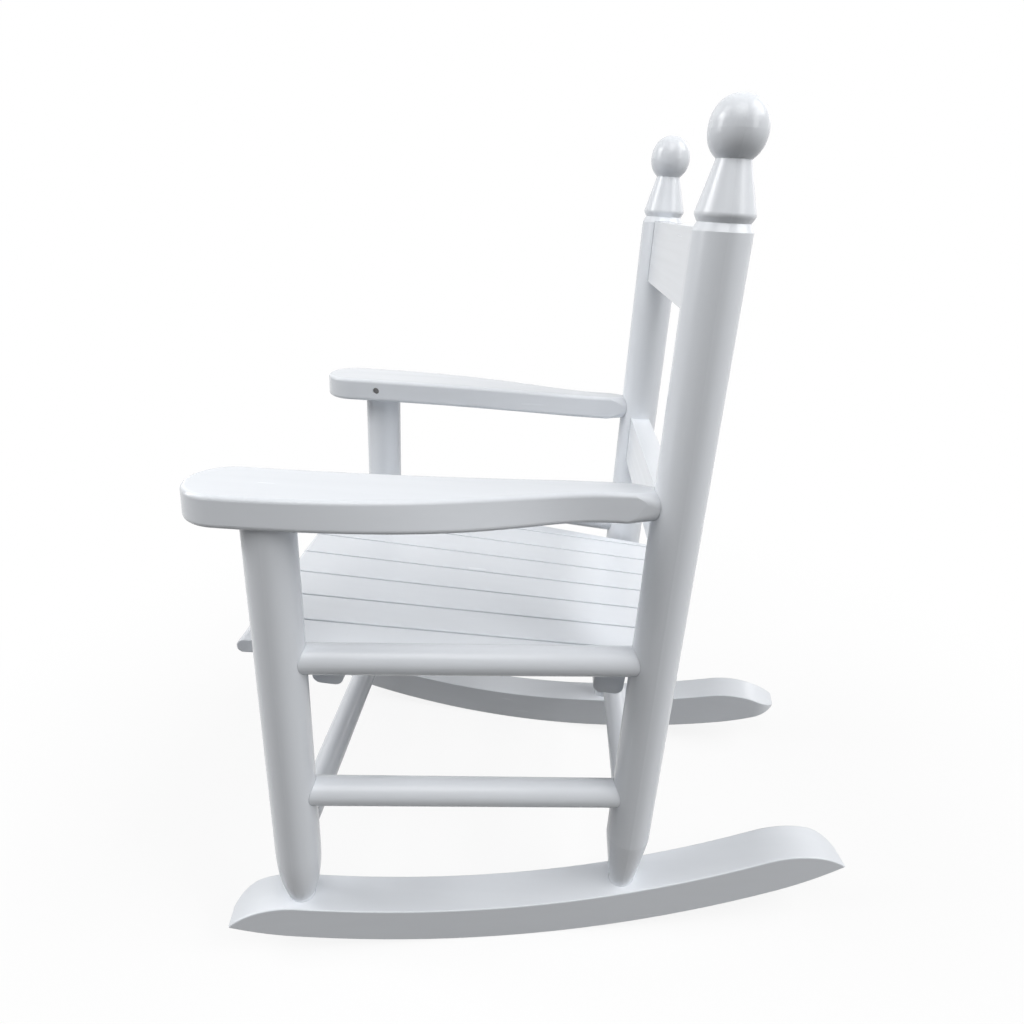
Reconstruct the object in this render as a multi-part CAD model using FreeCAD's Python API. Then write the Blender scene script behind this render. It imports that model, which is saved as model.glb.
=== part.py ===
import FreeCAD, Part
import math
import os

V = FreeCAD.Vector
ACROSS = V(1, 0, 0)
BACK = V(0, 1, 0)
UP = V(0, 0, 1)

# Driving dimensions, all in millimetres or degrees.
# The chair is laid out upright, with its posts vertical: X runs across it, +X is the sitter's left,
# it faces -Y, Y is 0 midway between the front and rear posts, and Z is 0 at the rockers' lowest line.

# Posts
POST_DIAMETER = 32.0
FRONT_POST_SPACING = 298.6
REAR_POST_SPACING = 230.8
POST_DEPTH_SPACING = 241.6
FOOT_DIAMETER = 19.0
FOOT_COLLAR_LENGTH = 1.8
FOOT_TAPER_LENGTH = 44.0
FOOT_SOCKET_DEPTH = 16.0
FOOT_CLEARANCE = 0.2

# Turned finials of the rear posts
FINIAL_GROOVE_HEIGHT = 517.5
FINIAL_GROOVE_DEPTH = 2.1
FINIAL_CHAMFER_LENGTH = 4.2
FINIAL_LIP_LENGTH = 3.6
FINIAL_LIP_ROUNDING = 0.7
FINIAL_CONE_LENGTH = 25.9
FINIAL_NECK_DIAMETER = 17.9
FINIAL_BALL_DIAMETER = 30.0
FINIAL_BALL_LENGTH = 32.6
FINIAL_BALL_FULLNESS = 1.08

# Rockers
ROCKER_RADIUS = 798.0
ROCKER_DEPTH = 31.0
ROCKER_DEPTH_GROWTH = 0.011
ROCKER_THICKNESS = 31.0
ROCKER_FRONT_REACH = 54.5
ROCKER_REAR_REACH = 181.7
ROCKER_FRONT_NOSE = 48.0
ROCKER_REAR_NOSE = 60.0
ROCKER_NOSE_EASE = 0.37
ROCKER_NOSE_KNEE = (0.2, 0.68)
ROCKER_SOLE_EASE = 0.5
ROCKER_TIP_RISE = 0.13
ROCKER_CENTRE_OFFSET = -6.8
ROCKER_TIP_RADIUS = 1.0
ROCKER_INNER_CORNER_RADIUS = 20.0
ROCKER_EDGE_RADIUS = 1.0

# Round rails and stretchers
RAIL_DIAMETER = 20.5
TENON_DIAMETER = 14.0
TENON_LENGTH = 11.0
TENON_CLEARANCE = 0.2
SOCKET_SPARE = 1.0
SHOULDER_GAP = 0.1
SIDE_STRETCHER_FRONT_HEIGHT = 138.4
SIDE_STRETCHER_REAR_HEIGHT = 128.8
FRONT_STRETCHER_HEIGHT = 94.1
REAR_STRETCHER_HEIGHT = 99.6

# Seat panel of tapered slats on two bearers
SEAT_HEIGHT = 240.7
SEAT_SLOPE = 2.9
SEAT_FRONT_OVERHANG = 35.8
SEAT_REAR_OVERHANG = 19.0
SEAT_SIDE_INSET = 21.2
SLAT_COUNT = 8
SLAT_THICKNESS = 10.0
SLAT_GAP = 1.8
SLAT_NOSE_RADIUS = 4.8
SLAT_EDGE_RADIUS = 0.8
OUTER_SLAT_FRONT_WIDTH = 31.0
OUTER_SLAT_REAR_WIDTH = 4.5
SEAT_REST_GAP = 0.1
FRONT_SIDE_RAIL_RISE = 1.8
REAR_SIDE_RAIL_RISE = 10.2
BEARER_WIDTH = 21.5
BEARER_DEPTH = 23.4
BEARER_CORNER_RADIUS = 6.0
BEARER_END_INSET = 0.5
FRONT_BEARER_GAP = 0.5
REAR_BEARER_GAP = 4.8

# Back boards
BACK_BOARD_THICKNESS = 16.0
CREST_TOP_HEIGHT = 514.0
CREST_BOARD_HEIGHT = 46.0
LOWER_BOARD_TOP_HEIGHT = 351.5
LOWER_BOARD_HEIGHT = 39.5
MORTISE_DEPTH = 10.0
MORTISE_CLEARANCE = 0.2

# Arms
ARM_THICKNESS = 19.6
ARM_UNDERSIDE_HEIGHT = 346.6
ARM_FRONT_WIDTH = 50.5
ARM_REAR_WIDTH = 21.0
ARM_FRONT_OVERHANG = 49.4
ARM_INBOARD_OFFSET = 5.5
ARM_TILT = 0.35
ARM_FLARE = 1.2
ARM_EDGE_RADIUS = 2.8
ARM_NOSE_LENGTH = 22.1
ARM_NOSE_BITE = 4.8
ARM_NOSE_WIDTH = 20.2
ARM_NOSE_HEIGHT = 18.6
ARM_NOSE_CORNER_RADIUS = 9.0
ARM_NOSE_LIFT = 1.0
ARM_TAPER_SPARE = 0.4
ARM_TENON_DIAMETER = 14.0
POST_TOP_TENON_DIAMETER = 18.0
POST_TOP_TENON_LENGTH = 12.0

# Wood screws
SCREW_DIAMETER = 3.5
SCREW_HEAD_DIAMETER = 5.5
SCREW_HEAD_LENGTH = 2.5
SCREW_RECESS = 2.0
SCREW_HOLE_CLEARANCE = 0.3
SCREW_BITE = 6.0
SCREW_END_MARGIN = 5.0

# Sizes worked out from the driving dimensions
POST_RADIUS = POST_DIAMETER / 2
RAIL_RADIUS = RAIL_DIAMETER / 2
FRONT_X = FRONT_POST_SPACING / 2
REAR_X = REAR_POST_SPACING / 2
FRONT_Y = -POST_DEPTH_SPACING / 2
REAR_Y = POST_DEPTH_SPACING / 2
SIDE_MIDDLE_X = (FRONT_X + REAR_X) / 2
SIDE_LENGTH = math.hypot(FRONT_X - REAR_X, POST_DEPTH_SPACING)
TOE_IN = math.degrees(math.atan2(FRONT_X - REAR_X, POST_DEPTH_SPACING))
ARM_MIDDLE_HEIGHT = ARM_UNDERSIDE_HEIGHT + ARM_THICKNESS / 2
SEAT_TILT = math.radians(SEAT_SLOPE)
SEAT_FRONT_Y = FRONT_Y - SEAT_FRONT_OVERHANG
SEAT_REAR_Y = REAR_Y + SEAT_REAR_OVERHANG


def side_x(y):
    """Half width of the frame at y, measured to the line through a side's two posts."""
    return SIDE_MIDDLE_X + (REAR_X - FRONT_X) * y / POST_DEPTH_SPACING


def seat_top(y):
    """Height of the seat's top face at y."""
    return SEAT_HEIGHT - y * math.tan(SEAT_TILT)


def rail_under_seat(y):
    """Height of a round rail's axis whose top carries the slats at y."""
    drop = (SLAT_THICKNESS + RAIL_RADIUS + SEAT_REST_GAP) / math.cos(SEAT_TILT)
    return seat_top(y) - drop


def rod(start, direction, length, diameter):
    return Part.makeCylinder(diameter / 2, length, start, direction)


def bezier(points):
    curve = Part.BezierCurve()
    curve.setPoles(points)
    return curve.toShape()


def line(a, b):
    return Part.LineSegment(a, b).toShape()


def turned(edges, x, y):
    """A turning about the vertical axis at x, y, from profile edges drawn in the XZ plane."""
    profile = Part.Face(Part.Wire(edges))
    solid = profile.revolve(V(0, 0, 0), UP, 360)
    solid.translate(V(x, y, 0))
    return solid


# Rockers: boards on edge, a little deeper at the rear, with noses that run out to a tip at each end

def rocker_depth(along):
    return ROCKER_DEPTH + ROCKER_DEPTH_GROWTH * along


def rocker_point(along, rise):
    """Point of the rocker's side face: a place along its bottom arc, and a share of its depth up from it."""
    turn = (along - ROCKER_CENTRE_OFFSET) / ROCKER_RADIUS
    radius = ROCKER_RADIUS - rise * rocker_depth(along)
    return V(0, ROCKER_CENTRE_OFFSET + radius * math.sin(turn), ROCKER_RADIUS - radius * math.cos(turn))


def rocker_arc(start, end, rise):
    places = (start, (start + end) / 2, end)
    return Part.Arc(*[rocker_point(along, rise) for along in places]).toShape()


def arc_end(arc, at_rear):
    """An arc's rear or front end, and the way on from there."""
    place = arc.LastParameter if at_rear else arc.FirstParameter
    ahead = arc.tangentAt(place)
    return arc.valueAt(place), ahead if at_rear else -ahead


def rocker_nose(top, bottom, tip, length):
    """Upper and lower curves that leave the board's two arcs smoothly and meet at the tip."""
    point = rocker_point(tip, ROCKER_TIP_RISE)
    knee = rocker_point(tip - math.copysign(ROCKER_NOSE_KNEE[0] * length, tip), ROCKER_NOSE_KNEE[1])
    top_end, top_ahead = arc_end(top, tip > 0)
    sole_end, sole_ahead = arc_end(bottom, tip > 0)
    upper = bezier([top_end, top_end + top_ahead * (ROCKER_NOSE_EASE * length), knee, point])
    lower = bezier([sole_end, sole_end + sole_ahead * (ROCKER_SOLE_EASE * length), point])
    return upper, lower


def rocker_top_height(along):
    """Height of the rocker's top face at a place along the board."""
    radius = ROCKER_RADIUS - rocker_depth(along)
    return ROCKER_RADIUS - math.sqrt(radius ** 2 - (along - ROCKER_CENTRE_OFFSET) ** 2)


FRONT_FOOT_HEIGHT = rocker_top_height(-SIDE_LENGTH / 2)
REAR_FOOT_HEIGHT = rocker_top_height(SIDE_LENGTH / 2)


def rocker_plan(box):
    """Block a hair longer than the board whose rounded corners give the board's inner corners their plan."""
    low = V(-ROCKER_THICKNESS / 2, box.YMin - SHOULDER_GAP, box.ZMin - ROCKER_DEPTH)
    length = box.YLength + 2 * SHOULDER_GAP
    block = Part.makeBox(ROCKER_THICKNESS, length, box.ZLength + 2 * ROCKER_DEPTH, low)
    inner = [edge for edge in block.Edges if edge.BoundBox.XMax < 0 and edge.BoundBox.ZLength > ROCKER_DEPTH]
    return block.makeFillet(ROCKER_INNER_CORNER_RADIUS, inner)


def make_rocker():
    front_tip = -SIDE_LENGTH / 2 - ROCKER_FRONT_REACH
    rear_tip = SIDE_LENGTH / 2 + ROCKER_REAR_REACH
    ends = (front_tip + ROCKER_FRONT_NOSE, rear_tip - ROCKER_REAR_NOSE)
    bottom = rocker_arc(*ends, 0.0)
    top = rocker_arc(*ends, 1.0)
    front_upper, front_lower = rocker_nose(top, bottom, front_tip, ROCKER_FRONT_NOSE)
    rear_upper, rear_lower = rocker_nose(top, bottom, rear_tip, ROCKER_REAR_NOSE)
    outline = Part.Wire([bottom, rear_lower, rear_upper, top, front_upper, front_lower])
    board = Part.Face(outline).extrude(ACROSS * ROCKER_THICKNESS)
    board.translate(ACROSS * (-ROCKER_THICKNESS / 2))
    across = [edge for edge in board.Edges if edge.BoundBox.XLength > ROCKER_THICKNESS / 2]
    across.sort(key=lambda edge: edge.CenterOfMass.y)
    board = board.makeFillet(ROCKER_TIP_RADIUS, [across[0], across[-1]])
    board = board.common(rocker_plan(board.BoundBox))
    faces = [face for face in board.Faces if face.BoundBox.XLength < SHOULDER_GAP]
    board = board.makeFillet(ROCKER_EDGE_RADIUS, [edge for face in faces for edge in face.Edges])
    for along, foot_height in ((-SIDE_LENGTH / 2, FRONT_FOOT_HEIGHT), (SIDE_LENGTH / 2, REAR_FOOT_HEIGHT)):
        bottom = V(0, along, foot_height - FOOT_SOCKET_DEPTH)
        board = board.cut(rod(bottom, UP, ROCKER_DEPTH, FOOT_DIAMETER + FOOT_CLEARANCE))
    board.rotate(V(0, 0, 0), UP, TOE_IN)
    board.translate(V(SIDE_MIDDLE_X, 0, 0))
    return board


# Round rails and stretchers: turned tenons in the posts, with ends coped to the posts' surface

def post_envelope(point):
    reach = POST_DIAMETER + RAIL_DIAMETER
    return rod(V(point.x, point.y, point.z - reach), UP, 2 * reach, POST_DIAMETER + 2 * SHOULDER_GAP)


def make_rail(start, end):
    """A rail between two post axes."""
    run = end - start
    direction = V(run).normalize()
    body = rod(start, direction, run.Length, RAIL_DIAMETER)
    for point in (start, end):
        body = body.cut(post_envelope(point))
    inset = POST_RADIUS - TENON_LENGTH
    core = rod(start + direction * inset, direction, run.Length - 2 * inset, TENON_DIAMETER)
    return body.fuse(core).removeSplitter()


def rail_socket(post, start, end):
    """The post with a socket for the rail that starts on its axis."""
    direction = (end - start).normalize()
    bottom = start + direction * (POST_RADIUS - TENON_LENGTH - SOCKET_SPARE)
    return post.cut(rod(bottom, direction, POST_DIAMETER, TENON_DIAMETER + TENON_CLEARANCE))


FRONT_SIDE_RAIL = V(FRONT_X, FRONT_Y, seat_top(FRONT_Y) + FRONT_SIDE_RAIL_RISE)
REAR_SIDE_RAIL = V(REAR_X, REAR_Y, seat_top(REAR_Y) + REAR_SIDE_RAIL_RISE)
FRONT_SIDE_STRETCHER = V(FRONT_X, FRONT_Y, SIDE_STRETCHER_FRONT_HEIGHT)
REAR_SIDE_STRETCHER = V(REAR_X, REAR_Y, SIDE_STRETCHER_REAR_HEIGHT)
FRONT_CROSS_HEIGHTS = (FRONT_STRETCHER_HEIGHT, rail_under_seat(FRONT_Y))
REAR_CROSS_HEIGHTS = (REAR_STRETCHER_HEIGHT, rail_under_seat(REAR_Y))


def make_cross_rail(x, y, height):
    return make_rail(V(x, y, height), V(-x, y, height))


# Posts: turnings with a bullet foot; the front ones end in a tenon, the rear ones in a finial

# Where a foot's outline bends, as shares of its growth in radius and of its taper's length
FRONT_FOOT_BULGE = ((0.62, 0.26), (1.0, 0.58))
REAR_FOOT_BULGE = ((0.34, 0.33), (0.9, 0.84))


def foot_profile(foot_height, bulge):
    """Profile edges from the axis at the foot's end to the full diameter, and the last point."""
    radius = FOOT_DIAMETER / 2
    end = foot_height - FOOT_SOCKET_DEPTH
    low = foot_height + FOOT_COLLAR_LENGTH
    growth = POST_RADIUS - radius
    shares = ((0.0, 0.0),) + bulge + ((1.0, 1.0),)
    taper = [V(radius + wide * growth, 0, low + high * FOOT_TAPER_LENGTH) for wide, high in shares]
    edges = [line(V(0, 0, end), V(radius, 0, end)), line(V(radius, 0, end), taper[0]), bezier(taper)]
    return edges, taper[-1]


def close_profile(edges, points):
    """Straight profile edges through the points, then back down the axis to the first edge."""
    edges = edges + [line(a, b) for a, b in zip(points, points[1:])]
    start = edges[0].Vertexes[0].Point
    return edges + [line(points[-1], start)]


def make_front_post():
    edges, last = foot_profile(FRONT_FOOT_HEIGHT, FRONT_FOOT_BULGE)
    shoulder = ARM_UNDERSIDE_HEIGHT - SHOULDER_GAP
    tenon = POST_TOP_TENON_DIAMETER / 2
    top = shoulder + POST_TOP_TENON_LENGTH
    points = [last, V(POST_RADIUS, 0, shoulder), V(tenon, 0, shoulder), V(tenon, 0, top), V(0, 0, top)]
    post = turned(close_profile(edges, points), FRONT_X, FRONT_Y)
    post = rail_socket(post, FRONT_SIDE_RAIL, REAR_SIDE_RAIL)
    post = rail_socket(post, FRONT_SIDE_STRETCHER, REAR_SIDE_STRETCHER)
    for height in FRONT_CROSS_HEIGHTS:
        post = rail_socket(post, V(FRONT_X, FRONT_Y, height), V(0, FRONT_Y, height))
    return post.cut(arm_screw_hole(SCREW_DIAMETER))


def oval_arc(diameter, length, centre, start, end):
    """Part of an upright oval's outline between two angles up from its widest point."""
    reach = FINIAL_BALL_FULLNESS * 4 / 3 * math.tan((end - start) / 4)

    def place(angle):
        return V(diameter / 2 * math.cos(angle), 0, centre + length / 2 * math.sin(angle))

    def along(angle):
        return V(-diameter / 2 * math.sin(angle), 0, length / 2 * math.cos(angle)) * reach

    return bezier([place(start), place(start) + along(start), place(end) - along(end), place(end)])


def finial_edges(start):
    """Groove, cone and ball above the straight part of a rear post, and the topmost point."""
    full = V(POST_RADIUS, 0, FINIAL_GROOVE_HEIGHT - FINIAL_CHAMFER_LENGTH)
    groove = V(POST_RADIUS - FINIAL_GROOVE_DEPTH, 0, FINIAL_GROOVE_HEIGHT)
    lip = V(POST_RADIUS, 0, FINIAL_GROOVE_HEIGHT + FINIAL_LIP_LENGTH)
    neck = V(FINIAL_NECK_DIAMETER / 2, 0, lip.z + FINIAL_CONE_LENGTH)
    under = groove + (lip - groove) * FINIAL_LIP_ROUNDING
    over = lip + (neck - lip).normalize() * (lip - under).Length
    low_angle = -math.acos(FINIAL_NECK_DIAMETER / FINIAL_BALL_DIAMETER)
    centre = neck.z - FINIAL_BALL_LENGTH / 2 * math.sin(low_angle)
    ball = [oval_arc(FINIAL_BALL_DIAMETER, FINIAL_BALL_LENGTH, centre, low_angle, 0.0),
            oval_arc(FINIAL_BALL_DIAMETER, FINIAL_BALL_LENGTH, centre, 0.0, math.pi / 2)]
    edges = [line(start, full), line(full, groove), line(groove, under)]
    edges += [bezier([under, lip, over]), line(over, neck)] + ball
    return edges, V(0, 0, centre + FINIAL_BALL_LENGTH / 2)


def make_rear_post():
    edges, last = foot_profile(REAR_FOOT_HEIGHT, REAR_FOOT_BULGE)
    more, top = finial_edges(last)
    post = turned(close_profile(edges + more, [top, V(0, 0, REAR_FOOT_HEIGHT)]), REAR_X, REAR_Y)
    post = rail_socket(post, REAR_SIDE_RAIL, FRONT_SIDE_RAIL)
    post = rail_socket(post, REAR_SIDE_STRETCHER, FRONT_SIDE_STRETCHER)
    for height in REAR_CROSS_HEIGHTS:
        post = rail_socket(post, V(REAR_X, REAR_Y, height), V(0, REAR_Y, height))
    for top_height, board_height in BACK_BOARDS:
        post = post.cut(back_board(top_height, board_height, MORTISE_CLEARANCE))
    return post.cut(arm_tenon(TENON_CLEARANCE, SOCKET_SPARE))


# Back boards: straight boards whose whole ends sit in mortises in the rear posts

BACK_BOARDS = ((CREST_TOP_HEIGHT, CREST_BOARD_HEIGHT), (LOWER_BOARD_TOP_HEIGHT, LOWER_BOARD_HEIGHT))


def back_board(top_height, board_height, clearance=0.0):
    half = REAR_X - POST_RADIUS + MORTISE_DEPTH + clearance
    thickness = BACK_BOARD_THICKNESS + clearance
    low = V(-half, REAR_Y - thickness / 2, top_height - board_height - clearance / 2)
    return Part.makeBox(2 * half, thickness, board_height + clearance, low)


# Arms: level paddles on the front posts, tapered at the rear to a blunt nose with a round tenon

ARM_INNER_FRONT = FRONT_X - ARM_INBOARD_OFFSET - ARM_FRONT_WIDTH / 2
ARM_OUTER_FRONT = ARM_INNER_FRONT + ARM_FRONT_WIDTH
ARM_ROUND_Y = FRONT_Y - ARM_FRONT_OVERHANG + ARM_FRONT_WIDTH / 2
ARM_NOSE_END_Y = REAR_Y - POST_RADIUS + ARM_NOSE_BITE
ARM_NOSE_Y = ARM_NOSE_END_Y - ARM_NOSE_LENGTH
ARM_TENON_HEIGHT = ARM_UNDERSIDE_HEIGHT + ARM_NOSE_LIFT + ARM_NOSE_HEIGHT / 2


# Where an arm's long edges bend in, as shares of the run: the outer edge flares out towards its underside
ARM_TOP_BENDS = (0.6, 0.78)
ARM_UNDERSIDE_BENDS = (0.76, 0.73)


def arm_edge(x_front, x_rear, height, bends):
    """One long edge: straight ahead at the front, easing in to the narrow rear, and its rear end."""
    run = ARM_NOSE_Y - ARM_ROUND_Y
    poles = [V(x_front, ARM_ROUND_Y, height), V(x_front, ARM_ROUND_Y + bends[0] * run, height),
             V(x_rear, ARM_ROUND_Y + bends[1] * run, height), V(x_rear, ARM_NOSE_Y, height)]
    return bezier(poles), V(x_rear, REAR_Y, height)


def arm_outline(height, flare, bends):
    inner, inner_end = arm_edge(ARM_INNER_FRONT, REAR_X - ARM_REAR_WIDTH / 2, height, ARM_TOP_BENDS)
    outer, outer_end = arm_edge(ARM_OUTER_FRONT + flare, REAR_X + ARM_REAR_WIDTH / 2 + flare, height, bends)
    half = (ARM_FRONT_WIDTH + flare) / 2
    middle = V(ARM_INNER_FRONT + half, ARM_ROUND_Y - half, height)
    front = Part.Arc(outer.Vertexes[0].Point, middle, inner.Vertexes[0].Point).toShape()
    rear = [line(inner.Vertexes[-1].Point, inner_end), line(inner_end, outer_end),
            line(outer_end, outer.Vertexes[-1].Point)]
    return Part.Wire([inner] + rear + [outer, front])


def arm_blank():
    """The paddle with rounded edges, still square at its rear end."""
    underside = arm_outline(ARM_UNDERSIDE_HEIGHT, ARM_FLARE, ARM_UNDERSIDE_BENDS)
    top = arm_outline(ARM_UNDERSIDE_HEIGHT + ARM_THICKNESS, 0.0, ARM_TOP_BENDS)
    blank = Part.makeLoft([underside, top], True, True)
    flats = [face for face in blank.Faces if face.BoundBox.ZLength < ARM_THICKNESS / 2]
    rims = [edge for face in flats for edge in face.Edges]
    long_edges = [edge for edge in rims if edge.CenterOfMass.y < REAR_Y - ARM_EDGE_RADIUS]
    return blank.makeFillet(ARM_EDGE_RADIUS, long_edges)


def tilt_arm(shape):
    """Raises the rear of an arm's shape a little, about the front post's shoulder."""
    shape.rotate(V(0, FRONT_Y, ARM_UNDERSIDE_HEIGHT), ACROSS, ARM_TILT)
    return shape


def nose_section(y, middle_height, width, height, corner):
    """Upright rounded rectangle across the arm, in line with the rear post."""
    arcs = []
    for quarter, (right, up) in enumerate(((1, 1), (-1, 1), (-1, -1), (1, -1))):
        centre = V(REAR_X + right * (width / 2 - corner), y, middle_height + up * (height / 2 - corner))
        angles = [math.radians(90 * quarter + turn) for turn in (0, 45, 90)]
        points = [centre + V(math.cos(angle), 0, math.sin(angle)) * corner for angle in angles]
        arcs.append(Part.Arc(*points).toShape())
    edges = []
    for arc, following in zip(arcs, arcs[1:] + arcs[:1]):
        edges += [arc, line(arc.Vertexes[-1].Point, following.Vertexes[0].Point)]
    return Part.Wire(edges)


def arm_room():
    """Room the arm keeps inside: open along the paddle, tapered to the blunt nose at the rear."""
    reach = FRONT_POST_SPACING
    front = Part.makeBox(2 * reach, 2 * reach, 2 * reach, V(0, ARM_NOSE_Y - 2 * reach, 0))
    full_width = ARM_REAR_WIDTH + 2 * ARM_FLARE + ARM_TAPER_SPARE
    wide = nose_section(ARM_NOSE_Y, ARM_MIDDLE_HEIGHT, full_width, ARM_THICKNESS + ARM_TAPER_SPARE,
                        ARM_EDGE_RADIUS)
    blunt = nose_section(ARM_NOSE_END_Y, ARM_TENON_HEIGHT, ARM_NOSE_WIDTH, ARM_NOSE_HEIGHT,
                         ARM_NOSE_CORNER_RADIUS)
    return front.fuse(Part.makeLoft([wide, blunt], True, True))


def arm_tenon(clearance=0.0, spare=0.0):
    start = V(REAR_X, ARM_NOSE_Y, ARM_TENON_HEIGHT)
    length = REAR_Y - POST_RADIUS + TENON_LENGTH + spare - ARM_NOSE_Y
    return tilt_arm(rod(start, BACK, length, ARM_TENON_DIAMETER + clearance))


def arm_inner_edge():
    """Where the arm's inner edge passes the front post."""
    post_line = Part.makeLine(V(0, FRONT_Y, 0), V(FRONT_X, FRONT_Y, 0))
    inner, end = arm_edge(ARM_INNER_FRONT, REAR_X - ARM_REAR_WIDTH / 2, 0.0, ARM_TOP_BENDS)
    return inner.distToShape(post_line)[1][0][0].x


ARM_SCREW_HEAD_X = arm_inner_edge() + SCREW_RECESS
ARM_SCREW_LENGTH = FRONT_X - ARM_SCREW_HEAD_X


def arm_screw_hole(diameter):
    start = V(ARM_SCREW_HEAD_X, FRONT_Y, ARM_MIDDLE_HEIGHT)
    return rod(start, ACROSS, ARM_SCREW_LENGTH, diameter)


def make_arm():
    arm = tilt_arm(arm_blank().common(arm_room()))
    arm = arm.cut(post_envelope(V(REAR_X, REAR_Y, ARM_MIDDLE_HEIGHT)))
    arm = arm.fuse(arm_tenon()).removeSplitter()
    socket = V(FRONT_X, FRONT_Y, ARM_UNDERSIDE_HEIGHT - SOCKET_SPARE)
    depth = POST_TOP_TENON_LENGTH + 2 * SOCKET_SPARE
    arm = arm.cut(rod(socket, UP, depth, POST_TOP_TENON_DIAMETER + TENON_CLEARANCE))
    arm = arm.cut(arm_screw_hole(SCREW_DIAMETER + SCREW_HOLE_CLEARANCE))
    recess = SCREW_RECESS + SCREW_HEAD_LENGTH
    mouth = V(ARM_SCREW_HEAD_X + SCREW_HEAD_LENGTH, FRONT_Y, ARM_MIDDLE_HEIGHT)
    return arm.cut(rod(mouth, -ACROSS, 2 * recess, SCREW_HEAD_DIAMETER + SCREW_HOLE_CLEARANCE))


# Screws: a round head and a straight shank

def make_screw(head_end, direction, length):
    head = rod(head_end, direction, SCREW_HEAD_LENGTH, SCREW_HEAD_DIAMETER)
    return head.fuse(rod(head_end, direction, length, SCREW_DIAMETER)).removeSplitter()


def screw_way(head_end, direction, length):
    """Hole and head recess for a screw that comes in from outside."""
    hole = rod(head_end, direction, length, SCREW_DIAMETER + SCREW_HOLE_CLEARANCE)
    mouth = head_end + direction * SCREW_HEAD_LENGTH
    depth = SCREW_HEAD_LENGTH + 2 * SCREW_RECESS
    return hole.fuse(rod(mouth, -direction, depth, SCREW_HEAD_DIAMETER + SCREW_HOLE_CLEARANCE))


# Seat panel, drawn flat with its top at Z 0 and then laid on its slope

def lay_on_slope(shape):
    shape.rotate(V(0, 0, 0), ACROSS, -SEAT_SLOPE)
    shape.translate(UP * SEAT_HEIGHT)
    return shape


SEAT_NORMAL = V(0, math.sin(SEAT_TILT), math.cos(SEAT_TILT))
SEAT_ENDS = [y / math.cos(SEAT_TILT) for y in (SEAT_FRONT_Y, SEAT_REAR_Y)]
OUTER_SLAT_WIDTHS = (OUTER_SLAT_FRONT_WIDTH, OUTER_SLAT_REAR_WIDTH)


def seat_edge(flat_y):
    """Half width of the seat panel."""
    return side_x(flat_y * math.cos(SEAT_TILT)) - SEAT_SIDE_INSET


def gap_line(step, end):
    """X of a gap's middle at the seat's front (0) or rear (1), counted in slats from the middle."""
    inner = seat_edge(SEAT_ENDS[end]) - OUTER_SLAT_WIDTHS[end] - SLAT_GAP / 2
    return inner * step / (SLAT_COUNT / 2 - 1)


def slat_sides(index, end):
    """Left and right X of a slat at one end, counted from the sitter's right."""
    low_step = index - SLAT_COUNT / 2
    half_gap = SLAT_GAP / 2
    low = gap_line(low_step, end) + half_gap
    high = gap_line(low_step + 1, end) - half_gap
    if index == 0:
        low = -seat_edge(SEAT_ENDS[end])
    if index == SLAT_COUNT - 1:
        high = seat_edge(SEAT_ENDS[end])
    return low, high


def slat_middle(index, flat_y):
    share = (flat_y - SEAT_ENDS[0]) / (SEAT_ENDS[1] - SEAT_ENDS[0])
    front = sum(slat_sides(index, 0)) / 2
    rear = sum(slat_sides(index, 1)) / 2
    return front + share * (rear - front)


# Bearers stand just inside the cross rails under the seat
FRONT_BEARER_Y = FRONT_Y + RAIL_RADIUS + FRONT_BEARER_GAP + BEARER_WIDTH / 2
REAR_BEARER_Y = REAR_Y - RAIL_RADIUS - REAR_BEARER_GAP - BEARER_WIDTH / 2
BEARER_SHIFT = (SLAT_THICKNESS + BEARER_DEPTH / 2) * math.sin(SEAT_TILT)
BEARER_PLACES = [(y + BEARER_SHIFT) / math.cos(SEAT_TILT) for y in (FRONT_BEARER_Y, REAR_BEARER_Y)]
SLAT_SCREW_LENGTH = BEARER_DEPTH - SCREW_RECESS + SCREW_BITE
RAIL_SCREW_LENGTH = RAIL_DIAMETER - SCREW_RECESS + SEAT_REST_GAP + SCREW_BITE
RAIL_SCREW_SLATS = (1, SLAT_COUNT - 2)


def slat_screw_starts(index):
    """Head ends of a slat's screws, in the flat panel."""
    height = -SLAT_THICKNESS - BEARER_DEPTH + SCREW_RECESS
    starts = []
    for place in BEARER_PLACES:
        limit = seat_edge(place) - BEARER_END_INSET - SCREW_END_MARGIN
        starts.append(V(max(-limit, min(limit, slat_middle(index, place))), place, height))
    return starts


def rail_screw_starts(y):
    """Head ends of the screws that come up through a cross rail at y, in the flat panel."""
    axis_drop = SLAT_THICKNESS + SEAT_REST_GAP + RAIL_RADIUS
    flat_y = y / math.cos(SEAT_TILT) + axis_drop * math.tan(SEAT_TILT)
    height = -axis_drop - RAIL_RADIUS + SCREW_RECESS
    return [V(slat_middle(index, flat_y), flat_y, height) for index in RAIL_SCREW_SLATS]


RAIL_SCREW_STARTS = [start for y in (FRONT_Y, REAR_Y) for start in rail_screw_starts(y)]


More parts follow.
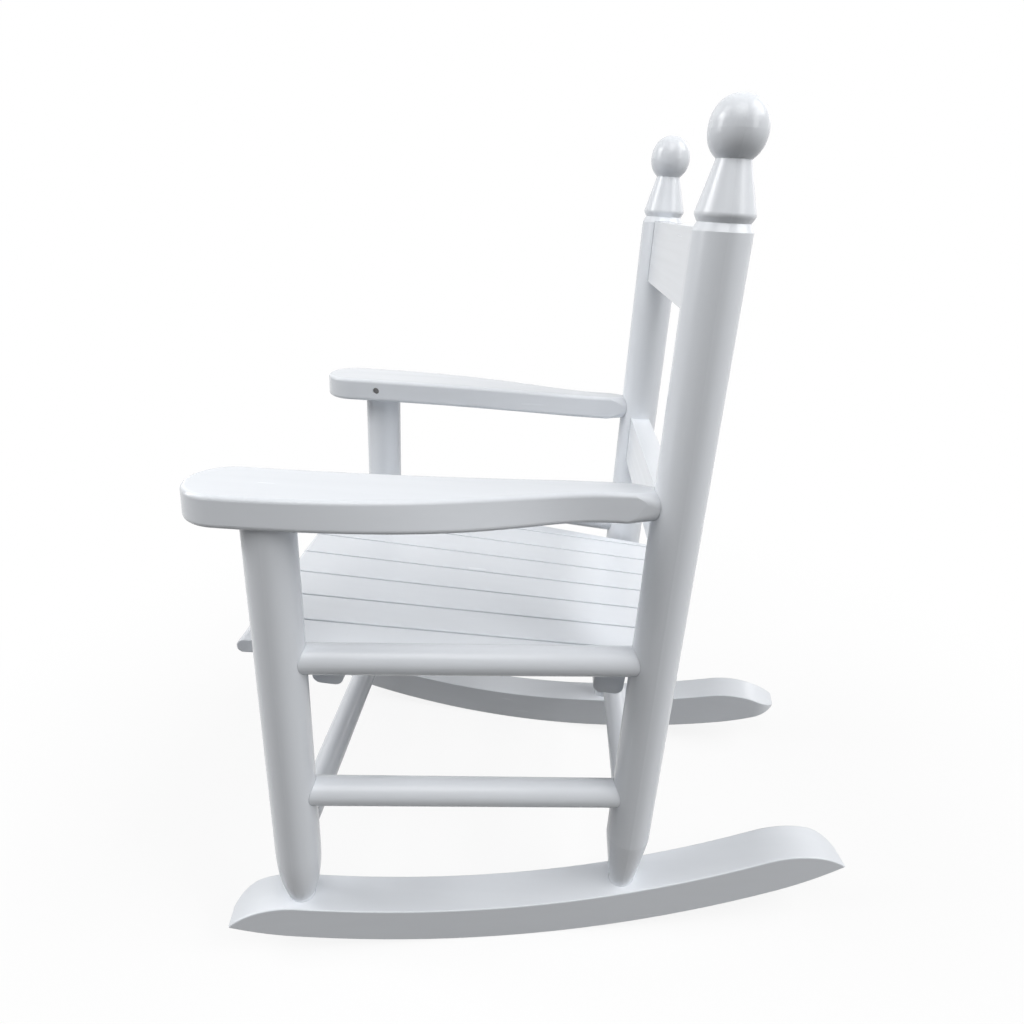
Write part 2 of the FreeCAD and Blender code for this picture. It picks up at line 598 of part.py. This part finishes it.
def make_slat(index):
    front_low, front_high = slat_sides(index, 0)
    rear_low, rear_high = slat_sides(index, 1)
    corners = [V(front_low, SEAT_ENDS[0], 0), V(front_high, SEAT_ENDS[0], 0),
               V(rear_high, SEAT_ENDS[1], 0), V(rear_low, SEAT_ENDS[1], 0)]
    plank = Part.Face(Part.makePolygon(corners + corners[:1])).extrude(-UP * SLAT_THICKNESS)
    front = [edge for edge in plank.Edges if edge.BoundBox.YMax < SEAT_ENDS[0] + SLAT_EDGE_RADIUS]
    nose = [edge for edge in front if edge.BoundBox.ZLength < SLAT_EDGE_RADIUS]
    plank = plank.makeFillet(SLAT_NOSE_RADIUS, nose)
    top = [edge for edge in plank.Edges if edge.BoundBox.ZMin > -SLAT_EDGE_RADIUS / 2]
    long_edges = [edge for edge in top if edge.BoundBox.YLength > SEAT_ENDS[1]]
    plank = plank.makeFillet(SLAT_EDGE_RADIUS, long_edges)
    for start in slat_screw_starts(index):
        plank = plank.cut(rod(start, UP, SLAT_SCREW_LENGTH, SCREW_DIAMETER))
    for start in RAIL_SCREW_STARTS:
        plank = plank.cut(rod(start, UP, RAIL_SCREW_LENGTH, SCREW_DIAMETER))
    return lay_on_slope(plank)


def make_bearer(place):
    half = seat_edge(place) - BEARER_END_INSET
    low = V(-half, place - BEARER_WIDTH / 2, -SLAT_THICKNESS - BEARER_DEPTH)
    bar = Part.makeBox(2 * half, BEARER_WIDTH, BEARER_DEPTH, low)
    under = [edge for edge in bar.Edges if edge.BoundBox.ZMax < low.z + BEARER_CORNER_RADIUS]
    lower = [edge for edge in under if edge.BoundBox.XLength > half]
    bar = bar.makeFillet(BEARER_CORNER_RADIUS, lower)
    for index in range(SLAT_COUNT):
        for start in slat_screw_starts(index):
            bar = bar.cut(screw_way(start, UP, SLAT_SCREW_LENGTH))
    return lay_on_slope(bar)


def make_seat_cross_rail(x, y):
    rail = make_cross_rail(x, y, rail_under_seat(y))
    for start in rail_screw_starts(y):
        rail = rail.cut(lay_on_slope(screw_way(start, UP, RAIL_SCREW_LENGTH)))
    return rail


def make_slat_screws():
    starts = [start for index in range(SLAT_COUNT) for start in slat_screw_starts(index)]
    return Part.makeCompound([lay_on_slope(make_screw(start, UP, SLAT_SCREW_LENGTH)) for start in starts])


def make_rail_screws():
    screws = [make_screw(start, UP, RAIL_SCREW_LENGTH) for start in RAIL_SCREW_STARTS]
    return Part.makeCompound([lay_on_slope(screw) for screw in screws])


def other_side(shape):
    return shape.mirror(V(0, 0, 0), ACROSS)


# Assembly, upright

pieces = {}
PAIRS = {
    "rocker": make_rocker(),
    "front_post": make_front_post(),
    "rear_post": make_rear_post(),
    "arm": make_arm(),
    "side_seat_rail": make_rail(FRONT_SIDE_RAIL, REAR_SIDE_RAIL),
    "side_stretcher": make_rail(FRONT_SIDE_STRETCHER, REAR_SIDE_STRETCHER),
}
for name, shape in PAIRS.items():
    pieces[name + "_left"] = shape
    pieces[name + "_right"] = other_side(shape)
pieces["front_stretcher"] = make_cross_rail(FRONT_X, FRONT_Y, FRONT_STRETCHER_HEIGHT)
pieces["rear_stretcher"] = make_cross_rail(REAR_X, REAR_Y, REAR_STRETCHER_HEIGHT)
pieces["front_seat_rail"] = make_seat_cross_rail(FRONT_X, FRONT_Y)
pieces["rear_seat_rail"] = make_seat_cross_rail(REAR_X, REAR_Y)
pieces["crest_rail"] = back_board(*BACK_BOARDS[0])
pieces["lower_back_rail"] = back_board(*BACK_BOARDS[1])
for index in range(SLAT_COUNT):
    pieces["seat_slat_%d" % (index + 1)] = make_slat(index)
pieces["front_seat_bearer"] = make_bearer(BEARER_PLACES[0])
pieces["rear_seat_bearer"] = make_bearer(BEARER_PLACES[1])
pieces["slat_screws"] = make_slat_screws()
pieces["seat_rail_screws"] = make_rail_screws()
arm_screw = make_screw(V(ARM_SCREW_HEAD_X, FRONT_Y, ARM_MIDDLE_HEIGHT), ACROSS, ARM_SCREW_LENGTH)
pieces["arm_screws"] = Part.makeCompound([arm_screw, other_side(arm_screw)])


# At rest the chair leans back on its rockers until its weight lies over the line where they touch the
# floor. Seen from the side the rockers' arc is flatter by the square of the toe-in angle's cosine.

def balance_lean(shapes):
    weight = sum(solid.Volume for shape in shapes for solid in shape.Solids)
    moment = sum((solid.CenterOfMass * solid.Volume for shape in shapes for solid in shape.Solids), V())
    centre = moment * (1 / weight)
    rolling_radius = ROCKER_RADIUS * math.cos(math.radians(TOE_IN)) ** 2
    return math.degrees(math.atan2(centre.y - ROCKER_CENTRE_OFFSET, rolling_radius - centre.z))


LEAN = balance_lean(pieces.values())
for shape in pieces.values():
    shape.rotate(V(0, ROCKER_CENTRE_OFFSET, ROCKER_RADIUS), ACROSS, -LEAN)

# The origin is on the floor, at the middle of the chair's outline seen from above
box = Part.makeCompound(list(pieces.values())).optimalBoundingBox(False, False)
for shape in pieces.values():
    shape.translate(V(0, -(box.YMin + box.YMax) / 2, -box.ZMin))

os.makedirs("parts", exist_ok=True)
for name, shape in pieces.items():
    shape.exportStep("parts/%s.step" % name)

print("pieces %d, lean back at rest %.3f degrees" % (len(pieces), LEAN))
print("width %.1f depth %.1f height %.1f" % (box.XLength, box.YLength, box.ZLength))
print("the middle between the posts lies at Y %.3f" % (-(box.YMin + box.YMax) / 2))
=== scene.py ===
# %% [markdown]
# # A child's rocking chair in satin white paint
# The chair's shape comes from its solids: turned posts, round rails, slats, boards and rockers. They are
# loaded first and stay where they are. What follows is the view, the light and the finish.

# %% Load the chair
import math
import bpy
from mathutils import Matrix, Vector

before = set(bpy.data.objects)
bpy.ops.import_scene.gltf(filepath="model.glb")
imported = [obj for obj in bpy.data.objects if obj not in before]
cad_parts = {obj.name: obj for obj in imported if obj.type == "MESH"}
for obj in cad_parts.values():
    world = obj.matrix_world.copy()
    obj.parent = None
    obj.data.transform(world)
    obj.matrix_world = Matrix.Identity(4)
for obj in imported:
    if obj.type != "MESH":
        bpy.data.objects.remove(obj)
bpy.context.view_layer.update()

bpy.ops.object.select_all(action="DESELECT")
print("pieces loaded:", len(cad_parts))

# %% [markdown]
# ## The view
# The chair is seen from its left side, from a little above the arms and quite close, so that near pieces
# look clearly larger than far ones. A wide lens at the right distance gives that. The camera is turned by
# three plain angles: the way it faces, how far it looks down, and a slight roll. Places are in metres,
# angles in degrees, and the lens and its sensor in millimetres.

# %% Camera
CAMERA_PLACE = (0.51788, -0.00243, 0.51910)
FACING, LOOKING_DOWN, ROLL = 93.342, 23.280, 0.226
LENS, SENSOR = 24.957, 36.0
NEAREST_SEEN = 0.01

bpy.ops.object.camera_add()
camera = bpy.context.object
camera.name = "side_view"
turn = Matrix.Rotation(math.radians(FACING), 4, "Z")
tip = Matrix.Rotation(math.radians(90 - LOOKING_DOWN), 4, "X")
roll = Matrix.Rotation(math.radians(ROLL), 4, "Z")
camera.matrix_world = Matrix.Translation(CAMERA_PLACE) @ turn @ tip @ roll
camera.data.sensor_fit = "HORIZONTAL"
camera.data.sensor_width = SENSOR
camera.data.lens = LENS
camera.data.clip_start = NEAREST_SEEN
bpy.context.scene.camera = camera
bpy.context.scene.view_settings.view_transform = "Standard"
print("camera at", CAMERA_PLACE, "lens", LENS)

# %% [markdown]
# ## The floor
# In a studio such a chair stands on a wide sweep of plain paper. A curved sweep could be modelled, but one
# large plane is enough here: its far edge is as white as the backdrop, so the two run into each other. The
# floor isn't part of the chair.

# %% Floor plane
FLOOR_SIZE = 8.0

bpy.ops.mesh.primitive_plane_add(size=FLOOR_SIZE, location=(0, 0, 0))
floor = bpy.context.object
floor.name = "floor"
print("floor", FLOOR_SIZE, "m square")

# %% [markdown]
# ## What is seen, and what lights the chair
# The floor and the backdrop look white to the camera. If they lit the chair as strongly as that, its
# undersides would lose their shade. Light Path tells the two apart, because it knows whether a ray comes
# from the camera, off a glossy surface or through glass, or is light that bounces about. The other helpers
# here make the few kinds of node that the floor, the backdrop and the finishes share.

# %% Node helpers
WHITE = (1, 1, 1, 1)
WHITE_STRENGTH = 1.0


def new_nodes(name):
    """A material with only an output node, and its node tree."""
    material = bpy.data.materials.new(name)
    material.use_nodes = True
    material.node_tree.nodes.clear()
    output = material.node_tree.nodes.new("ShaderNodeOutputMaterial")
    return material, material.node_tree, output


def calculate(tree, operation, first, second):
    """A math node on two values, each a socket or a number."""
    node = tree.nodes.new("ShaderNodeMath")
    node.operation = operation
    for socket, value in zip(node.inputs, (first, second)):
        if isinstance(value, (int, float)):
            socket.default_value = value
        else:
            tree.links.new(value, socket)
    return node.outputs[0]


def seen_directly(tree):
    """1 for the camera's own rays and for mirrored ones, 0 for light that bounces."""
    rays = tree.nodes.new("ShaderNodeLightPath")
    direct = calculate(tree, "MAXIMUM", rays.outputs["Is Camera Ray"], rays.outputs["Is Glossy Ray"])
    return calculate(tree, "MAXIMUM", direct, rays.outputs["Is Transmission Ray"])


def mix_colours(tree, share, first, second):
    """The first colour where the share is 0, the second where it is 1."""
    node = tree.nodes.new("ShaderNodeMix")
    node.data_type = "RGBA"
    node.inputs["A"].default_value = first
    node.inputs["B"].default_value = second
    tree.links.new(share, node.inputs["Factor"])
    return node.outputs["Result"]


def mix_shaders(tree, share, first, second):
    """The first shader where the share is 0, the second where it is 1."""
    node = tree.nodes.new("ShaderNodeMixShader")
    tree.links.new(share, node.inputs["Fac"])
    tree.links.new(first.outputs[0], node.inputs[1])
    tree.links.new(second.outputs[0], node.inputs[2])
    return node.outputs[0]


print("white seen directly has strength", WHITE_STRENGTH)

# %% [markdown]
# ## The floor's finish
# For the light that bounces up to the chair the floor is a dark grey, so the undersides stay as dark as
# they are in a real studio. Seen directly it is pale, and most of its look is a plain white glow, which
# stays white under any lamp. Near the chair a part is still the floor's own shading, so the chair keeps a
# soft shadow. The share of white grows smoothly with the distance from the chair's middle.

# %% Floor finish
FLOOR_GREY = (0.10, 0.10, 0.10, 1)
FLOOR_PALE = (0.90, 0.90, 0.90, 1)
NEAR_WHITE_SHARE, FAR_WHITE_SHARE = 0.87, 1.0
SHADOW_START, SHADOW_END = 0.30, 0.75

pale, tree, output = new_nodes("pale_floor")
nodes, links = tree.nodes, tree.links
direct = seen_directly(tree)
matt = nodes.new("ShaderNodeBsdfDiffuse")
links.new(mix_colours(tree, direct, FLOOR_GREY, FLOOR_PALE), matt.inputs["Color"])
glow = nodes.new("ShaderNodeEmission")
glow.inputs["Color"].default_value = WHITE
glow.inputs["Strength"].default_value = WHITE_STRENGTH

from_middle = nodes.new("ShaderNodeVectorMath")
from_middle.operation = "LENGTH"
links.new(nodes.new("ShaderNodeTexCoord").outputs["Object"], from_middle.inputs[0])
whiter = nodes.new("ShaderNodeMapRange")
whiter.interpolation_type = "SMOOTHSTEP"
whiter.inputs["From Min"].default_value = SHADOW_START
whiter.inputs["From Max"].default_value = SHADOW_END
whiter.inputs["To Min"].default_value = NEAR_WHITE_SHARE
whiter.inputs["To Max"].default_value = FAR_WHITE_SHARE
links.new(from_middle.outputs["Value"], whiter.inputs["Value"])

white_share = calculate(tree, "MULTIPLY", direct, whiter.outputs["Result"])
links.new(mix_shaders(tree, white_share, matt, glow), output.inputs["Surface"])
floor.data.materials.append(pale)
print("floor finish:", pale.name)

# %% [markdown]
# ## The backdrop
# Behind the chair there is nothing but white. A wall could stand there, but the world itself does it with
# no edges to hide. Seen directly it is white. For the chair it is only a trace of cool light, because the
# lamps are there to model the round pieces, and light from everywhere would flatten them.

# %% World
SKY_COLOUR = (0.95, 0.98, 1.0, 1)
SKY_LIGHT = 0.02


def backdrop(tree, colour, strength):
    """A backdrop of one colour, as bright as the strength says."""
    node = tree.nodes.new("ShaderNodeBackground")
    node.inputs["Color"].default_value = colour
    node.inputs["Strength"].default_value = strength
    return node


world = bpy.data.worlds.new("studio")
bpy.context.scene.world = world
world.use_nodes = True
tree = world.node_tree
tree.nodes.clear()
soft = backdrop(tree, SKY_COLOUR, SKY_LIGHT)
white = backdrop(tree, WHITE, WHITE_STRENGTH)
output = tree.nodes.new("ShaderNodeOutputWorld")
tree.links.new(mix_shaders(tree, seen_directly(tree), soft, white), output.inputs["Surface"])
print("sky light", SKY_LIGHT)

# %% [markdown]
# ## Light
# Soft boxes are area lamps, and a larger lamp gives a softer edge to its shadow. One large and one close
# box hang over the near side and light the tops of arms and seat. Boxes in front of the chair and behind
# it model the round posts: bright towards both edges, darker along the middle. The high ones among them
# also throw the arm's shadow on the top of the front post. Two weak boxes fill the far side. Two small
# lamps, the sparks, are there for one thing: the crisp pair of highlights on each ball and cone.
#
# Each lamp is given as a direction from the chair's middle, a distance, a width and height, and a power
# in watts. Most stand well away, so a near piece gets hardly more light than a far one.

# %% Lamps
CHAIR_MIDDLE = Vector((0, 0, 0.30))
LAMPS = {
    "close_overhead_box": ((0.45, 0.0, 0.90), 1.1, (0.6, 0.6), 1.0),
    "near_side_box": ((0.60, 0.0, 0.80), 4.0, (2.4, 2.4), 40.0),
    "front_box": ((0.10, -0.95, 0.40), 3.8, (1.0, 2.4), 49.0),
    "high_front_box": ((0.10, -0.72, 0.70), 3.8, (1.8, 2.0), 29.0),
    "far_front_box": ((-0.60, -0.65, 0.45), 3.8, (1.6, 2.4), 11.0),
    "front_spark": ((-0.09, -0.84, 0.53), 3.8, (0.4, 0.6), 11.0),
    "high_back_box": ((0.10, 0.72, 0.70), 3.8, (2.4, 2.2), 82.0),
    "near_back_box": ((0.55, 0.75, 0.40), 3.8, (1.2, 2.4), 32.0),
    "far_back_box": ((-0.60, 0.65, 0.45), 3.8, (1.6, 2.4), 9.0),
    "back_spark": ((-0.78, 0.53, 0.33), 3.8, (0.4, 0.7), 3.0),
}

for name, (direction, distance, size, power) in LAMPS.items():
    way = Vector(direction).normalized()
    bpy.ops.object.light_add(type="AREA", location=CHAIR_MIDDLE + way * distance)
    lamp = bpy.context.object
    lamp.name = name
    lamp.rotation_euler = way.to_track_quat("Z", "Y").to_euler()
    lamp.data.shape = "RECTANGLE"
    lamp.data.size, lamp.data.size_y = size
    lamp.data.energy = power
print("lamps:", ", ".join(LAMPS))

# %% [markdown]
# ## Noise and bump
# Grain, spray and dull metal are all uneven in a random way, and a noise texture gives that. Spread over a
# small range it varies the gloss. As a height in a bump node it tilts the light a little, which is enough
# for marks far finer than the mesh.

# %% Surface helpers
NOISE_ROUGHNESS = 0.5


def value_range(tree, source, low, high):
    """Spread a 0 to 1 value between two others."""
    node = tree.nodes.new("ShaderNodeMapRange")
    node.inputs["To Min"].default_value = low
    node.inputs["To Max"].default_value = high
    tree.links.new(source, node.inputs["Value"])
    return node.outputs["Result"]


def noise(tree, vector, scale, detail):
    """Smooth noise between 0 and 1. More detail adds finer noise on top."""
    node = tree.nodes.new("ShaderNodeTexNoise")
    node.inputs["Scale"].default_value = scale
    node.inputs["Detail"].default_value = detail
    node.inputs["Roughness"].default_value = NOISE_ROUGHNESS
    tree.links.new(vector, node.inputs["Vector"])
    return node.outputs["Fac"]


def bump(tree, height, strength, depth, normal=None):
    """A surface direction that is tilted by a height, on top of another one if that is given."""
    node = tree.nodes.new("ShaderNodeBump")
    node.inputs["Strength"].default_value = strength
    node.inputs["Distance"].default_value = depth
    tree.links.new(height, node.inputs["Height"])
    if normal:
        tree.links.new(normal, node.inputs["Normal"])
    return node.outputs["Normal"]


print("noise roughness", NOISE_ROUGHNESS)

# %% [markdown]
# ## White paint on wood
# The wood is smooth, sprayed with a satin white. Up close the grain still shows through the film as faint
# long ridges, the spray leaves a very fine stipple, and the white is not quite even. All of it is made from
# noise on Object coordinates. The grain runs the long way of each piece, so the finish is made three times,
# with its noise drawn out along Z for posts, along Y for slats, arms, side rails and rockers, and along X
# for cross pieces. A Bevel node softens the look of each edge, as a film of paint does.

# %% The paint
PAINT_LIGHT = (0.828, 0.856, 0.896, 1)
PAINT_DEEP = (0.770, 0.798, 0.838, 1)
PAINT_GLOSSIEST, PAINT_DULLEST = 0.20, 0.30
GRAIN_ALONG, GRAIN_ACROSS = 5.0, 150.0
GRAIN_SCALE, GRAIN_DETAIL = 1.0, 2.0
CLOUD_SCALE, CLOUD_DETAIL = 14.0, 3.0
STIPPLE_SCALE, STIPPLE_DETAIL = 1500.0, 2.0
GRAIN_SHARE, CLOUD_SHARE = 0.5, 0.5
GRAIN_BUMP, GRAIN_DEPTH = 0.06, 0.0004
STIPPLE_BUMP, STIPPLE_DEPTH = 0.03, 0.0002
EDGE_RADIUS, EDGE_SAMPLES = 0.0004, 6


def paint_finish(name, grain_axis):
    """Satin white paint over wood whose grain runs along one axis."""
    material, tree, output = new_nodes(name)
    nodes, links = tree.nodes, tree.links
    place = nodes.new("ShaderNodeTexCoord").outputs["Object"]
    drawn_out = nodes.new("ShaderNodeMapping")
    stretch = [GRAIN_ACROSS] * 3
    stretch[grain_axis] = GRAIN_ALONG
    drawn_out.inputs["Scale"].default_value = stretch
    links.new(place, drawn_out.inputs["Vector"])
    grain = noise(tree, drawn_out.outputs["Vector"], GRAIN_SCALE, GRAIN_DETAIL)
    cloud = noise(tree, place, CLOUD_SCALE, CLOUD_DETAIL)
    stipple = noise(tree, place, STIPPLE_SCALE, STIPPLE_DETAIL)

    grain_part = calculate(tree, "MULTIPLY", grain, GRAIN_SHARE)
    cloud_part = calculate(tree, "MULTIPLY", cloud, CLOUD_SHARE)
    unevenness = calculate(tree, "ADD", grain_part, cloud_part)
    colour = mix_colours(tree, unevenness, PAINT_DEEP, PAINT_LIGHT)

    film = nodes.new("ShaderNodeBsdfPrincipled")
    links.new(colour, film.inputs["Base Color"])
    links.new(value_range(tree, grain, PAINT_GLOSSIEST, PAINT_DULLEST), film.inputs["Roughness"])
    soft_edge = nodes.new("ShaderNodeBevel")
    soft_edge.samples = EDGE_SAMPLES
    soft_edge.inputs["Radius"].default_value = EDGE_RADIUS
    ridged = bump(tree, grain, GRAIN_BUMP, GRAIN_DEPTH, soft_edge.outputs["Normal"])
    stippled = bump(tree, stipple, STIPPLE_BUMP, STIPPLE_DEPTH, ridged)
    links.new(stippled, film.inputs["Normal"])
    links.new(film.outputs["BSDF"], output.inputs["Surface"])
    return material


PAINT_ALONG = {
    "across": paint_finish("white_paint_grain_across", 0),
    "lengthways": paint_finish("white_paint_grain_lengthways", 1),
    "upright": paint_finish("white_paint_grain_upright", 2),
}
print("paint finishes:", ", ".join(material.name for material in PAINT_ALONG.values()))

# %% [markdown]
# ## Screws
# The screws are dull plated steel. Their heads sit a little below the wood, under the seat and in the inner
# edge of each arm, where they read as small dark holes. One fine mottle gives the plating its uneven tint,
# gloss and surface.

# %% Screw steel
STEEL_DARK = (0.10, 0.10, 0.105, 1)
STEEL_LIGHT = (0.22, 0.215, 0.21, 1)
STEEL_GLOSSIEST, STEEL_DULLEST = 0.35, 0.6
MOTTLE_SCALE, MOTTLE_DETAIL = 900.0, 4.0
MOTTLE_BUMP, MOTTLE_DEPTH = 0.2, 0.0002

steel, tree, output = new_nodes("dull_plated_steel")
nodes, links = tree.nodes, tree.links
place = nodes.new("ShaderNodeTexCoord").outputs["Object"]
mottle = noise(tree, place, MOTTLE_SCALE, MOTTLE_DETAIL)
metal = nodes.new("ShaderNodeBsdfPrincipled")
metal.inputs["Metallic"].default_value = 1.0
links.new(mix_colours(tree, mottle, STEEL_DARK, STEEL_LIGHT), metal.inputs["Base Color"])
links.new(value_range(tree, mottle, STEEL_GLOSSIEST, STEEL_DULLEST), metal.inputs["Roughness"])
links.new(bump(tree, mottle, MOTTLE_BUMP, MOTTLE_DEPTH), metal.inputs["Normal"])
links.new(metal.outputs["BSDF"], output.inputs["Surface"])
print("screw finish:", steel.name)

# %% [markdown]
# ## A finish for each piece
# Wood is cut with its grain along the piece, because it is strong that way. A piece's name says what it is
# and so which way its grain runs: posts stand upright, cross pieces run from side to side, and all other
# wood runs from front to back. The screws are the only pieces of steel.

# %% Give each piece its finish
UPRIGHT = "post"
ACROSS_STARTS = (
    "front_stretcher", "rear_stretcher", "front_seat_rail", "rear_seat_rail", "crest", "lower_back")
ACROSS_END = "bearer"


def finish_for(name):
    """The steel, or the paint with the grain along the piece."""
    if name.endswith("screws"):
        return steel
    if UPRIGHT in name:
        return PAINT_ALONG["upright"]
    if name.startswith(ACROSS_STARTS) or name.endswith(ACROSS_END):
        return PAINT_ALONG["across"]
    return PAINT_ALONG["lengthways"]


for name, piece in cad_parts.items():
    for slot in piece.material_slots:
        slot.material = finish_for(name)
print("finished:", {name: finish_for(name).name for name in sorted(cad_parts)})
